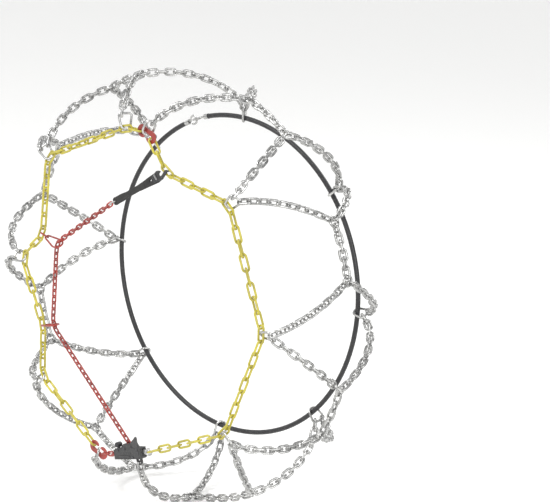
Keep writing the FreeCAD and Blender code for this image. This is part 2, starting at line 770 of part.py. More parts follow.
def strap_hook(peg_u, peg_v):
    """Flat hook on the strap's head: a short horn, a throat and a long horn with a peg for a chain link."""
    low, thick = STRAP_THICK / 2 + 0.05, HOOK_PLATE
    root = plate([(107, -5.6), (120, -6.6), (120, 7.6), (107, 6.4)], thick, low)
    bowl = disc(*HOOK_BOWL, HOOK_BOWL_R, low, thick)
    throat = slot(126.2, 1.2, 142.0, 5.0, 2.9, low - 1, thick + 2)
    horn = slot(126.5, -5.0, peg_u, peg_v, 2.5, low, thick)
    peg = disc(peg_u, peg_v, PEG_R, -4.5, low + thick + 4.5)
    holes = [disc(u, v, STAPLE_R + 0.05, low - 1, thick + 2) for u, v in STAPLE_LEGS]
    body = join([join([root, bowl]).cut(throat), horn, peg])
    return one_solid(body.cut(Part.makeCompound(holes)))


def strap_staple():
    """Bright steel staple that clamps the hook on the strap's head."""
    low, high = -STRAP_THICK / 2, STRAP_THICK / 2 + 0.07 + HOOK_PLATE
    (u1, v1), (u2, v2) = STAPLE_LEGS
    crown = slot(u1, v1, u2, v2, 1.3, high, 1.1)
    legs = [disc(u, v, STAPLE_R, low - 0.5, high - low + 1.0) for u, v in STAPLE_LEGS]
    feet = [disc(u, v, 1.7, low - 0.9, 0.85) for u, v in STAPLE_LEGS]
    return join([crown] + legs + feet)


# ---------------------------------------------------------------- inner hoop
def hoop_arc(inner_r, outer_r, first, last):
    """A length of round bar or tube bent round the wheel, between two angles."""
    def bar(r):
        ring = Part.makeTorus(HOOP_R, r, Vector(0, 0, 0), Vector(0, 0, 1), 0, 360, last - first)
        ring.rotate(Vector(0, 0, 0), Vector(0, 0, 1), first)
        ring.rotate(Vector(0, 0, 0), Vector(1, 0, 0), 90)
        ring.translate(Vector(0, HOOP_Y, 0))
        return ring
    solid = bar(outer_r)
    return solid.cut(bar(inner_r)).Solids[0] if inner_r else solid


def bar(start, end, r):
    return Part.makeCylinder(r, (end - start).Length, start, end - start)


def ball(at, r):
    ball_solid = Part.makeSphere(r)
    ball_solid.translate(at)
    return ball_solid


def hoop_end_eye():
    """Ring on a stem, drawn along X with the cable's end at X = -HOOP_GAP."""
    r = HOOP_END_WIRE_R
    middle = -1.0 - HOOP_EYE_R
    ring = Part.makeTorus(HOOP_EYE_R, r, Vector(middle, 0, 0))
    return join([ring, bar(Vector(-HOOP_GAP + 0.1, 0, 0), Vector(middle - HOOP_EYE_R, 0, 0), r)])


def hoop_end_hook():
    """Hook on a stem, drawn along X with the cable's end at X = HOOP_GAP; it closes round the eye."""
    r, bend_r = HOOP_END_WIRE_R, HOOP_HOOK_R
    back = -2.4
    bow = Part.makeTorus(bend_r, r, Vector(0, 0, 0), Vector(0, 0, 1), 0, 360, 180)
    bow.rotate(Vector(0, 0, 0), Vector(0, 0, 1), 90)
    bow.rotate(Vector(0, 0, 0), Vector(1, 0, 0), 90)
    bow.translate(Vector(back, 0, 0))
    shoulder, neck = Vector(7, 0, bend_r), Vector(13, 0, 0)
    lip = Vector(2.5, 0, -bend_r)
    legs = [bar(Vector(back, 0, bend_r), shoulder, r), bar(shoulder, neck, r),
            bar(neck, Vector(HOOP_GAP - 0.1, 0, 0), r), bar(Vector(back, 0, -bend_r), lip, r)]
    return join([bow] + legs + [ball(shoulder, r), ball(neck, r), ball(lip, r)])


# ---------------------------------------------------------------- build
nodes = {}

# outer side chain, in order round the wheel against the clock
corners = {name: polar(angle, radius, -SIDE_Y) for name, (angle, radius) in OUTER_CORNERS.items()}
right_seat, left_seat = hook_seat(closing_frame, 1), hook_seat(closing_frame, -1)
anchor_seat = hook_seat(anchor_frame, 1)
eye_seat = Seat(lock_frame.point(LOCK_EYE_AT[0] + 0.9, LOCK_EYE_AT[1]))
right_places = {name: corners[name] for name in ("right_bottom", "right", "right_top")}
right_places["strap"] = side_point(*STRAP_KINK)
left_places = {
    "top": corners["top"],
    "left_top": corners["left_top"],
    "upper_guide": side_point(*GUIDE_UPPER_KINK),
    "left": corners["left"],
    "lower_guide": side_point(*GUIDE_LOWER_KINK),
    "left_bottom": corners["left_bottom"],
}
stops = side_stops(eye_seat, right_places, right_seat) | side_stops(left_seat, left_places, anchor_seat)
strap_link, upper_link, lower_link = stops["strap"], stops["upper_guide"], stops["lower_guide"]
side_chain = {
    "lock_to_right_bottom": [eye_seat, stops["right_bottom"]],
    "right_bottom_to_right": [stops["right_bottom"], stops["right"]],
    "right_to_right_top": [stops["right"], stops["right_top"]],
    "right_top_to_hook": [stops["right_top"], strap_link, right_seat],
    "hook_to_left_top": [left_seat, stops["top"], stops["left_top"]],
    "left_top_to_left": [stops["left_top"], upper_link, stops["left"]],
    "left_to_left_bottom": [stops["left"], lower_link, stops["left_bottom"]],
    "left_bottom_to_anchor": [stops["left_bottom"], anchor_seat],
}
for name, pieces in side_chain.items():
    links = []
    for start, end in zip(pieces, pieces[1:]):
        links += side_run(start, end).links
        if isinstance(end, SideLink):
            links.append(end.solid)
    nodes["side_chain_" + name] = links

# hooks and their rings
closing_ring, anchor_ring = HookRing(closing_frame), HookRing(anchor_frame)
nodes["closing_hook"] = [closing_frame.put(HOOK)]
nodes["anchor_hook"] = [anchor_frame.put(HOOK)]
nodes["closing_ring"] = [closing_ring.solid]
nodes["anchor_ring"] = [anchor_ring.solid]

# tread net
outer_links, inner_links, rings = [], [], []
for name, (inner_angle, leading, trailing) in CELLS.items():
    inner = Connector(polar(inner_angle, HOOP_R, HOOP_Y), polar(inner_angle, 1, 0),
                      polar(inner_angle + 90, 1, 0), HOOP_TILT, HOOP_OFFSET)
    inner_links.append(inner.solid)
    links = []
    for angle in (leading, trailing):
        turn = (angle - inner_angle + 180) % 360 - 180
        links += inner.run(math.copysign(1, turn), angle).links
        rings.append(junction_ring(angle))
    if name in OUTER_CORNERS:
        seat = stops[name]
        angle = OUTER_CORNERS[name][0]
        outer = Connector(seat.middle, polar(angle, 1, 0), polar(angle + 90, 1, 0), CONNECTOR_TILT,
                          CONNECTOR_APEX_R)
        outer_links.append(outer.solid)
    if name == "top":
        links += outer.run(1, leading).links
        links += closing_ring.run(trailing).links
    elif name == "bottom":
        links += tread_run(lug_joint, OUTWARD, leading).links
        links += anchor_ring.run(trailing).links
    else:
        for angle in (leading, trailing):
            turn = (angle - OUTER_CORNERS[name][0] + 180) % 360 - 180
            links += outer.run(math.copysign(1, turn), angle).links
    nodes["tread_cell_" + name] = links
nodes["outer_connector_links"] = outer_links
nodes["inner_connector_links"] = inner_links
nodes["tread_junction_rings"] = rings

# bridges round the middle of the tread, each from a junction to the next one against the clock
marks = sorted((angle % 360, name) for name, cell in CELLS.items() for angle in cell[1:])
marks.append((marks[0][0] + 360, marks[0][1]))
for (first, name), (last, neighbour) in zip(marks, marks[1:]):
    if name != neighbour:
        nodes["tread_bridge_" + name] = bridge(first, last).links

# tension chain: anchor hook, lock, lower guide, upper guide, strap
tension_seat = anchor_frame.point(-HOOK_BOW_U - HOOK_SLOT / 2 + TENSION_LINK[0] / 2 + 0.35, 0)
roller = lock_frame.point(*LOCK_ROLLER_AT)
exit_angle = lock_exit_angle()
wrap = []
for i in range(41):
    turn = rad(-90 + (exit_angle + 90) * i / 40)
    wrap.append(roller + (lock_frame.u * math.cos(turn) + lock_frame.v * math.sin(turn)) * LOCK_WRAP_R)
lower_bend, upper_bend = side_point(*GUIDE_LOWER_BEND), side_point(*GUIDE_UPPER_BEND)
strap_joint = strap_frame.point(STRAP_TAIL_U - 2 * STRAP_RING_R, 0)
lower_curve = bend(wrap[-1], lower_bend, upper_bend)
upper_curve = bend(lower_bend, upper_bend, strap_joint)
path = [tension_seat, lock_frame.point(4, LOCK_RUN_V)] + wrap + lower_curve + upper_curve + [strap_joint]
tension = bending_chain(path, TENSION_LINK)
cuts = [0] + [tension.nearest(p) + 1 for p in (wrap[-1], lower_curve[20], upper_curve[20])] + [None]
for name, first, last in zip(("lock", "diagonal", "upright", "upper"), cuts, cuts[1:]):
    nodes["tension_chain_" + name] = tension.links[first:last]
# the pawl's tooth drops between two flat links, over a standing one
tooth_u = (tension.middles[LOCKED_LINK] - lock_frame.origin).dot(lock_frame.u)

# tension lock
nodes["lock_housing"] = [lock_frame.put(lock_housing())]
nodes["lock_cover"] = [lock_frame.put(lock_cover())]
nodes["lock_roller"] = [lock_frame.put(lock_roller())]
pin_places = (LOCK_ROLLER_AT, LOCK_PAWL_AT, LOCK_EYE_PIN_AT)
nodes["lock_pins"] = [lock_frame.put(headed_pin(*at, LOCK_PIN_R, 2.7, 0.9)) for at in pin_places]
nodes["lock_rivets"] = [lock_frame.put(headed_pin(*at, 1.2, 2.2, 0.8)) for at in LOCK_RIVETS_AT]
nodes["lock_pawl"] = [lock_frame.put(lock_pawl(tooth_u))]
nodes["lock_release_lever"] = [lock_frame.put(lock_lever())]
nodes["lock_release_knob"] = [lock_frame.put(lock_knob())]
nodes["lock_pawl_spring"] = [lock_frame.put(lock_spring())]
nodes["lock_end_eye"] = [lock_frame.put(lock_eye())]

# guide rings
lower_apex, upper_apex = lower_curve[20], upper_curve[20]
lower_pull = unit(lower_apex - lower_link.middle)
lower_far = lower_apex + lower_pull * GUIDE_CLEARANCE
nodes["guide_ring_lower"] = [guide_ring(lower_pull, lower_far, OUTWARD)]
upper_pull = unit(upper_apex - upper_link.middle)
upper_far = upper_apex + upper_pull * GUIDE_CLEARANCE
sideways = upper_pull.cross(OUTWARD)
nodes["guide_ring_upper"] = [guide_ring(upper_pull, upper_far, OUTWARD + sideways * 0.5)]
half, bow_r, wire_r = GUIDE_LINK
link_reach = GUIDE_LENGTH + half + bow_r - GUIDE_WIRE_R - wire_r - 0.5
link_middle = upper_far - upper_pull * link_reach
attach_link = place(oval(half, bow_r, wire_r), link_middle, upper_pull, OUTWARD - sideways * 0.6)
nodes["guide_attach_link"] = [attach_link]

# strap
ring = Part.makeTorus(STRAP_RING_R, STRAP_RING_WIRE_R)
ring_middle = strap_frame.point(STRAP_TAIL_U - STRAP_RING_R, 0)
nodes["strap_end_ring"] = [place(ring, ring_middle, strap_frame.u, OUTWARD)]
nodes["rubber_strap"] = [strap_frame.put(strap_body())]
peg = strap_link.middle - strap_frame.origin
nodes["strap_hook"] = [strap_frame.put(strap_hook(peg.dot(strap_frame.u), peg.dot(strap_frame.v)))]
nodes["strap_staple"] = [strap_frame.put(strap_staple())]

# inner hoop
reach = math.degrees(HOOP_GAP / HOOP_R)
ferrule, stem = math.degrees(6.0 / HOOP_R), math.degrees(3.0 / HOOP_R)
first, last = HOOP_SHUT_ANGLE + reach - 360, HOOP_SHUT_ANGLE - reach
nodes["hoop_cable"] = [hoop_arc(0, HOOP_CORE_R, first, last)]
sheath_ends = first + ferrule + 0.1, last - ferrule - 0.1
nodes["hoop_sheath"] = [hoop_arc(HOOP_CORE_R + 0.05, HOOP_SHEATH_R, *sheath_ends)]
nodes["hoop_ferrules"] = [hoop_arc(HOOP_CORE_R + 0.05, HOOP_SHEATH_R + 0.6, first - stem, first + ferrule),
                          hoop_arc(HOOP_CORE_R + 0.05, HOOP_SHEATH_R + 0.6, last - ferrule, last + stem)]
shut, tangent = polar(HOOP_SHUT_ANGLE, HOOP_R, HOOP_Y), polar(HOOP_SHUT_ANGLE - 90, 1, 0)
shut_radial = polar(HOOP_SHUT_ANGLE, 1, 0)
nodes["hoop_end_eye"] = [place(hoop_end_eye(), shut, tangent, shut_radial)]
nodes["hoop_end_hook"] = [place(hoop_end_hook(), shut, tangent, shut_radial)]

for name, solids in nodes.items():
    export(name, solids)
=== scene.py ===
import json
import math

import bpy
import numpy as np
from mathutils import Matrix, Vector

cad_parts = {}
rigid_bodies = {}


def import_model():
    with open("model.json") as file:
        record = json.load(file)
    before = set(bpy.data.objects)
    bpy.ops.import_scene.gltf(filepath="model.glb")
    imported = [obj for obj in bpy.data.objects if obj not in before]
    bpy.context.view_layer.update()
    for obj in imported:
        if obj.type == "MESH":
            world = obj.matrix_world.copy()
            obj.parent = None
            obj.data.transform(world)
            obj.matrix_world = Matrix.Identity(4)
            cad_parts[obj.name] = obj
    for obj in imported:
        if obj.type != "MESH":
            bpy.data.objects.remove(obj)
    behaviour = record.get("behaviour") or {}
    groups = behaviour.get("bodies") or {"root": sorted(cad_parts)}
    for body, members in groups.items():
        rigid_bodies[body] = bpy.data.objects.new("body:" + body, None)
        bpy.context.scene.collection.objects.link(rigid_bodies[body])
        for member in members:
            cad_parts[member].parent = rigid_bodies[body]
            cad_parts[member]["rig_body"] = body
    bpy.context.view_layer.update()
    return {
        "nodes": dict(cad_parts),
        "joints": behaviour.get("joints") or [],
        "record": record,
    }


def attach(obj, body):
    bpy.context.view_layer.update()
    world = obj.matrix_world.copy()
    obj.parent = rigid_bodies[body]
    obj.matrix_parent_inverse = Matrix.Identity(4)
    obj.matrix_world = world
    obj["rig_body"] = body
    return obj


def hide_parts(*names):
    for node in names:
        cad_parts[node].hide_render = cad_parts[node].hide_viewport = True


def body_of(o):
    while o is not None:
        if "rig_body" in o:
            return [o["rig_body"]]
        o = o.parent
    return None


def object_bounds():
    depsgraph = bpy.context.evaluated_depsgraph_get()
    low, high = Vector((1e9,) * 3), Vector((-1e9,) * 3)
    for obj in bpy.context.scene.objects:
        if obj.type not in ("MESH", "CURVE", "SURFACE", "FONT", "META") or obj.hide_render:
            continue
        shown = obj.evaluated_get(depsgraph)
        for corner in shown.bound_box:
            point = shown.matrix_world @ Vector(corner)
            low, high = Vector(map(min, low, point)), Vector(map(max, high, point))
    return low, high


# The looks of a snow chain for one wheel. Metres. The origin is the wheel's centre, Y its axle with -Y
# outside, and Z is up.

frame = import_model()
joints = {joint["name"]: joint for joint in frame["joints"]}

# wire diameter, inner length, inner width of each kind of link
SIDE_LINK = (0.0037, 0.0240, 0.0062)
TREAD_LINK = (0.0040, 0.0159, 0.0062)
TENSION_LINK = (0.0028, 0.0112, 0.0039)


# ---------------------------------------------------------------- materials
class Shader:
    """A new material's node tree, with short calls for the nodes used here."""

    def __init__(self, name):
        self.material = bpy.data.materials.new(name)
        self.material.use_nodes = True
        self.tree = self.material.node_tree
        self.body = self.tree.nodes["Principled BSDF"]
        self.place = self.add("ShaderNodeTexCoord").outputs["Object"]

    def add(self, kind, **settings):
        node = self.tree.nodes.new(kind)
        for key, value in settings.items():
            setattr(node, key, value)
        return node

    def link(self, source, target):
        if isinstance(source, (int, float)):
            target.default_value = source
        elif isinstance(source, tuple):
            target.default_value = (*source, 1) if len(source) == 3 else source
        else:
            self.tree.links.new(source, target)

    def noise(self, scale, detail=4.0, rough=0.55, stretch=None):
        node = self.add("ShaderNodeTexNoise")
        self.link(self.stretched(stretch), node.inputs["Vector"])
        node.inputs["Scale"].default_value = scale
        node.inputs["Detail"].default_value = detail
        node.inputs["Roughness"].default_value = rough
        return node.outputs["Fac"]

    def stretched(self, stretch):
        if stretch is None:
            return self.place
        node = self.add("ShaderNodeMapping")
        self.link(self.place, node.inputs["Vector"])
        node.inputs["Scale"].default_value = stretch
        return node.outputs["Vector"]

    def cells(self, scale):
        node = self.add("ShaderNodeTexVoronoi")
        self.link(self.place, node.inputs["Vector"])
        node.inputs["Scale"].default_value = scale
        return node.outputs["Color"]

    def ramp(self, value, low, high, start=0.0, end=1.0):
        node = self.add("ShaderNodeMapRange", clamp=True)
        self.link(value, node.inputs["Value"])
        for key, number in (("From Min", low), ("From Max", high), ("To Min", start), ("To Max", end)):
            node.inputs[key].default_value = number
        return node.outputs["Result"]

    def mix(self, share, first, second):
        node = self.add("ShaderNodeMix", data_type="RGBA")
        self.link(share, node.inputs[0])
        self.link(first, node.inputs[6])
        self.link(second, node.inputs[7])
        return node.outputs[2]

    def math(self, operation, first, second=0.0):
        node = self.add("ShaderNodeMath", operation=operation, use_clamp=operation in ("ADD", "MULTIPLY"))
        self.link(first, node.inputs[0])
        self.link(second, node.inputs[1])
        return node.outputs[0]

    def attribute(self, name):
        return self.add("ShaderNodeAttribute", attribute_name=name).outputs["Fac"]

    def bump(self, height, depth, strength=1.0, under=None):
        node = self.add("ShaderNodeBump")
        node.inputs["Distance"].default_value = depth
        node.inputs["Strength"].default_value = strength
        self.link(height, node.inputs["Height"])
        if under is not None:
            self.link(under, node.inputs["Normal"])
        return node.outputs["Normal"]

    def done(self, **inputs):
        for key, value in inputs.items():
            self.link(value, self.body.inputs[key.replace("_", " ")])
        return self.material


def zinc_material(name, light, dark, rough=(0.24, 0.5)):
    """Galvanised steel: zinc crystals, dull patches, bright rubbed bows and grime in random patches."""
    s = Shader(name)
    patches = s.noise(70, 5)
    crystals = s.cells(520)
    crystal_tone = s.ramp(crystals, 0.0, 1.0)
    fine = s.noise(2600, 3)
    wear = s.attribute("wear")
    tone = s.math("ADD", s.math("MULTIPLY", patches, 0.7), s.math("MULTIPLY", crystal_tone, 0.3))
    colour = s.mix(s.ramp(tone, 0.3, 0.7), dark, light)
    colour = s.mix(s.ramp(s.attribute("tone"), 0, 1, 0.0, 0.28), colour, tuple(0.55 * c for c in dark))
    grime = s.ramp(s.noise(240, 6, 0.7), 0.56, 0.74, 0.0, 0.55)
    colour = s.mix(grime, colour, (0.16, 0.15, 0.14))
    colour = s.mix(s.math("MULTIPLY", wear, 0.7), colour, (0.86, 0.86, 0.85))
    roughness = s.ramp(tone, 0.3, 0.7, rough[1], rough[0])
    roughness = s.math("ADD", roughness, s.math("MULTIPLY", grime, 0.3))
    normal = s.bump(fine, 0.00005, 0.5)
    normal = s.bump(s.noise(700, 4), 0.0002, 0.5, normal)
    return s.done(Base_Color=colour, Metallic=0.92, Roughness=roughness, Normal=normal)


def paint_material(name, colour, shade, metal=(0.42, 0.41, 0.39), chips=0.66, gloss=0.32):
    """Coated steel: a slightly uneven coat, chipped to the metal and rubbed where links meet."""
    s = Shader(name)
    patches = s.noise(55, 4)
    coat = s.mix(s.ramp(patches, 0.32, 0.68), shade, colour)
    coat = s.mix(s.ramp(s.attribute("tone"), 0, 1, 0.0, 0.22), coat, tuple(0.55 * c for c in colour))
    dirt = s.ramp(s.noise(300, 6, 0.7), 0.6, 0.8, 0.0, 0.5)
    coat = s.mix(dirt, coat, (0.10, 0.085, 0.06))
    rub = s.math("MULTIPLY", s.attribute("wear"), s.ramp(s.noise(900, 3), 0.38, 0.58))
    chip = s.ramp(s.noise(420, 5, 0.62), chips, chips + 0.02)
    bare = s.math("ADD", chip, rub)
    base = s.mix(bare, coat, metal)
    roughness = s.math("ADD", s.ramp(patches, 0.3, 0.7, gloss + 0.1, gloss), s.math("MULTIPLY", dirt, 0.4))
    height = s.math("SUBTRACT", 1.0, bare)
    normal = s.bump(height, 0.00012, 0.6, s.bump(s.noise(1500, 3), 0.00006, 0.6))
    return s.done(Base_Color=base, Metallic=s.math("MULTIPLY", bare, 0.9), Roughness=roughness,
                  Normal=normal, Coat_Weight=0.45, Coat_Roughness=0.16)


def plastic_material(name, colour, scuff, rough=0.5, grain=0.00006):
    """Moulded plastic: spark-eroded grain, pale scuffs and dust."""
    s = Shader(name)
    patches = s.noise(45, 4)
    base = s.mix(s.ramp(patches, 0.3, 0.7), colour, tuple(1.5 * c for c in colour))
    lines = s.ramp(s.noise(260, 6, 0.75, (1.0, 1.0, 6.0)), 0.6, 0.72, 0.0, 0.7)
    base = s.mix(lines, base, scuff)
    dust = s.ramp(s.noise(500, 4), 0.55, 0.85, 0.0, 0.35)
    base = s.mix(dust, base, (0.30, 0.28, 0.25))
    roughness = s.math("ADD", s.ramp(patches, 0.3, 0.7, rough, rough + 0.15), s.math("MULTIPLY", lines, 0.2))
    normal = s.bump(s.noise(2200, 2), grain, 0.8)
    return s.done(Base_Color=base, Roughness=roughness, Normal=normal)


def rubber_material(name):
    """Moulded rubber: dull, with chalky rubbed streaks."""
    s = Shader(name)
    patches = s.noise(60, 5)
    base = s.mix(s.ramp(patches, 0.3, 0.7), (0.013, 0.013, 0.014), (0.036, 0.035, 0.033))
    chalk = s.ramp(s.noise(330, 6, 0.72, (1.0, 1.0, 2.5)), 0.56, 0.8, 0.0, 0.6)
    base = s.mix(chalk, base, (0.12, 0.117, 0.11))
    normal = s.bump(s.noise(1800, 3), 0.00008, 0.8, s.bump(s.noise(160, 3), 0.0004, 0.5))
    return s.done(Base_Color=base, Roughness=s.ramp(patches, 0.3, 0.7, 0.62, 0.85), Normal=normal)


ZINC = zinc_material("zinc", (0.66, 0.66, 0.65), (0.27, 0.27, 0.268), (0.16, 0.36))
STEEL = zinc_material("plain_steel", (0.55, 0.55, 0.56), (0.30, 0.30, 0.30), (0.2, 0.4))
SPRING = zinc_material("spring_steel", (0.22, 0.21, 0.22), (0.10, 0.10, 0.11), (0.25, 0.4))
YELLOW = paint_material("yellow_coat", (0.62, 0.54, 0.05), (0.40, 0.34, 0.025))
RED = paint_material("red_coat", (0.42, 0.035, 0.022), (0.22, 0.018, 0.013))
BLACK = plastic_material("black_plastic", (0.022, 0.022, 0.024), (0.11, 0.11, 0.11))
SHEATH = plastic_material("hoop_sheath", (0.016, 0.016, 0.018), (0.10, 0.10, 0.10), 0.34)
LOCK_PLASTIC = plastic_material("lock_plastic", (0.042, 0.042, 0.043), (0.15, 0.15, 0.15))
BLACKENED = zinc_material("blackened_steel", (0.13, 0.13, 0.135), (0.06, 0.06, 0.065), (0.35, 0.55))
RUBBER = rubber_material("rubber")
OWN_LOOK = {"hoop_sheath": SHEATH, "lock_rivets": BLACKENED, "lock_pins": BLACKENED,
            "lock_housing": LOCK_PLASTIC, "lock_cover": LOCK_PLASTIC}
BY_SLOT = {"galvanised_steel": ZINC, "plain_steel": STEEL, "spring_steel": SPRING, "yellow_paint": YELLOW,
           "red_paint": RED, "black_plastic": BLACK, "black_rubber": RUBBER}
SLOT = {part["node"]: part["material_slot"] for part in frame["record"]["subparts"]}


# ---------------------------------------------------------------- meshes
def make_piece(name, verts, faces, material, body, wear=None, tone=None, smooth=True):
    """A new piece that rides on a body, with its rubbed wear and its own tone at each vertex."""
    mesh = bpy.data.meshes.new(name)
    mesh.from_pydata([tuple(v) for v in verts], [], [tuple(f) for f in faces])
    mesh.polygons.foreach_set("use_smooth", [smooth] * len(mesh.polygons))
    for key, values in (("wear", wear), ("tone", tone)):
        layer = mesh.attributes.new(key, "FLOAT", "POINT")
        layer.data.foreach_set("value", np.zeros(len(verts), np.float32) if values is None else
                               np.asarray(values, np.float32))
    mesh.materials.append(material)
    mesh.update()
    piece = bpy.data.objects.new(name, mesh)
    bpy.context.scene.collection.objects.link(piece)
    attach(piece, body)
    return piece


def closed_tube(points, tangents, ups, radii, ring):
    """Vertices and faces of a wire that closes on itself; radii is (across, up) at each point."""
    count = len(points)
    verts = np.zeros((count, ring, 3))
    for k, (point, tangent, up, (across, high)) in enumerate(zip(points, tangents, ups, radii)):
        side = np.cross(tangent, up)
        for j in range(ring):
            turn = 2 * math.pi * j / ring
            verts[k, j] = point + side * (across * math.cos(turn)) + up * (high * math.sin(turn))
    faces = []
    for k in range(count):
        after = (k + 1) % count
        for j in range(ring):
            nxt = (j + 1) % ring
            faces.append((k * ring + j, k * ring + nxt, after * ring + nxt, after * ring + j))
    return verts.reshape(-1, 3), faces


def link_mesh(size, ring=14, bow_steps=13, leg_steps=8):
    """One welded link round the origin, its length along X and its flat face towards Z, with its wear."""
    wire, length, width = size
    half, bow_r, wire_r = (length - width) / 2, (width + wire) / 2, wire / 2
    path = []
    for end in (1, -1):
        for k in range(bow_steps):
            turn = math.pi * (k / (bow_steps - 1) - 0.5) + (0 if end > 0 else math.pi)
            spot = (end * half + bow_r * math.cos(turn), bow_r * math.sin(turn))
            bow_wear = math.sin(math.pi * k / (bow_steps - 1))
            path.append((spot, (-math.sin(turn), math.cos(turn)), bow_wear, 0.0))
        for k in range(1, leg_steps):
            along = k / leg_steps
            spot = (end * half * (1 - 2 * along), end * bow_r)
            bead = math.exp(-(((along - 0.5) * 2 * half / (0.32 * wire)) ** 2)) if end > 0 else 0.0
            path.append((spot, (-end, 0.0), 0.0, bead))
    points = [np.array((x, y, 0.0)) for (x, y), _, _, _ in path]
    tangents = [np.array((x, y, 0.0)) for _, (x, y), _, _ in path]
    ups = [np.array((0.0, 0.0, 1.0))] * len(path)
    radii = [(wire_r * (1 - 0.035 * bow + 0.10 * bead), wire_r * (1 + 0.01 * bow + 0.10 * bead))
             for _, _, bow, bead in path]
    verts, faces = closed_tube(points, tangents, ups, radii, ring)
    wear = []
    for _, _, bow, bead in path:
        for j in range(ring):
            inside = max(0.0, -math.cos(2 * math.pi * j / ring))
            wear.append(max(bow**1.5 * inside**1.5, 0.35 * bead))
    return verts, faces, np.array(wear)


def islands(obj):
    """The vertex positions of each loose part of a mesh, with doubled vertices joined."""
    mesh = obj.data
    co = np.zeros(len(mesh.vertices) * 3)
    mesh.vertices.foreach_get("co", co)
    co = co.reshape(-1, 3)
    spots, same = np.unique(np.round(co, 6), axis=0, return_inverse=True)
    same = same.ravel()
    edges = np.zeros(len(mesh.edges) * 2, int)
    mesh.edges.foreach_get("vertices", edges)
    edges = same[edges.reshape(-1, 2)]
    label = np.arange(len(spots))
    while True:
        low = np.minimum(label[edges[:, 0]], label[edges[:, 1]])
        fresh = label.copy()
        np.minimum.at(fresh, edges[:, 0], low)
        np.minimum.at(fresh, edges[:, 1], low)
        fresh = fresh[fresh]
        if (fresh == label).all():
            break
        label = fresh
    return [spots[label == k] for k in np.unique(label)]


def own_axes(spots):
    """Centre of a loose part, and its longest, middle and thinnest axes."""
    centre = (spots.min(0) + spots.max(0)) / 2
    spread = np.linalg.eigh(np.cov((spots - spots.mean(0)).T))[1]
    axes = spread[:, ::-1].T
    if np.dot(np.cross(axes[0], axes[1]), axes[2]) < 0:
        axes[2] = -axes[2]
    local = (spots - centre) @ axes.T
    middle = (local.min(0) + local.max(0)) / 2
    return centre + middle @ axes, axes


random = np.random.default_rng(7)


def dress_chain(node, size, material):
    """Welded links in place of a CAD node's plain ones."""
    shape, faces, wear = link_mesh(size)
    verts, quads, wears, tones = [], [], [], []
    for spots in islands(frame["nodes"][node]):
        centre, axes = own_axes(spots)
        if random.random() < 0.5:
            axes = axes * np.array([[1], [-1], [-1]])
        start = len(verts) * len(shape)
        verts.append(shape @ axes + centre)
        quads += [tuple(start + k for k in face) for face in faces]
        wears.append(wear)
        tones.append(np.full(len(shape), random.random()))
    body = body_of(frame["nodes"][node])[0]
    piece = make_piece(node + ".links", np.concatenate(verts), quads, material, body,
                       np.concatenate(wears), np.concatenate(tones))
    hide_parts(node)


# radius of the rounded corners of each solid that keeps its CAD shape
SOFT_CORNERS = {"lock_housing": 0.0004, "lock_cover": 0.0005, "lock_end_eye": 0.0006, "strap_hook": 0.0006,
                "lock_release_lever": 0.0004, "lock_pawl": 0.0003}


def soften(obj, width):
    """Rounded corners on a carried-over solid."""
    obj.modifiers.new("merge", "WELD").merge_threshold = 1e-6
    bevel = obj.modifiers.new("corners", "BEVEL")
    bevel.width, bevel.segments = width, 3
    bevel.limit_method, bevel.angle_limit = "ANGLE", math.radians(35)


# ---------------------------------------------------------------- rubber strap
def own_frame(joint):
    """Origin and the along, across and out directions of the strap, from its joint."""
    origin = np.array(joint["pos_m"])
    across = -np.array(joint["axis"])
    out = np.array((0.0, -1.0, 0.0))
    return origin, np.cross(across, out), across, out


# the strap's edges: millimetres along it from the end of the tension chain, low edge, high edge
STRAP_EDGES = [(10, -6.2, 6.2), (26, -6.2, 6.2), (40, -4.9, 4.8), (66, -4.9, 4.8), (76, -5.7, 5.5),
               (84, -6.2, 6.0), (97, -7.0, 7.4), (112, -8.0, 8.4), (118, -8.0, 8.4)]
TAIL_AT, TAIL_R, STRAP_END = 10.1, 6.6, 118.0
HALF_THICK, END_ROUND = 1.95, 2.5
CHANNEL_FROM, CHANNEL_TO, CHANNEL_DEPTH, CHANNEL_SHARE = 24, 74, 0.55, 0.55
RIBS_FROM, RIBS_TO, RIB_PITCH, RIB_HEIGHT, RIB_SHARE = 84.0, 96.0, 3.0, 0.55, 0.8
SQUARENESS = 0.45  # power that turns the round section into one with flat sides
FINGER_SLOT = (98, 0.5, 102, 1.5, 1.5)  # its two ends and its radius
STRAP_JOINT_U = TAIL_AT - 13.0  # its joint stands one end ring's diameter before the tail's hole


def strap_edges(u):
    """The strap's low and high edge at a distance along it."""
    stations = [edge[0] for edge in STRAP_EDGES]
    low = np.interp(u, stations, [edge[1] for edge in STRAP_EDGES])
    high = np.interp(u, stations, [edge[2] for edge in STRAP_EDGES])
    if u < TAIL_AT + TAIL_R:
        round_half = math.sqrt(max(TAIL_R**2 - (u - TAIL_AT) ** 2, 0.0))
        if u < TAIL_AT:
            return -round_half, round_half
        low, high = min(low, -round_half), max(high, round_half)
    if u > STRAP_END - END_ROUND:
        tuck = END_ROUND - math.sqrt(max(END_ROUND**2 - (u - STRAP_END + END_ROUND) ** 2, 0.0))
        low, high = low + tuck, high - tuck
    return low, high


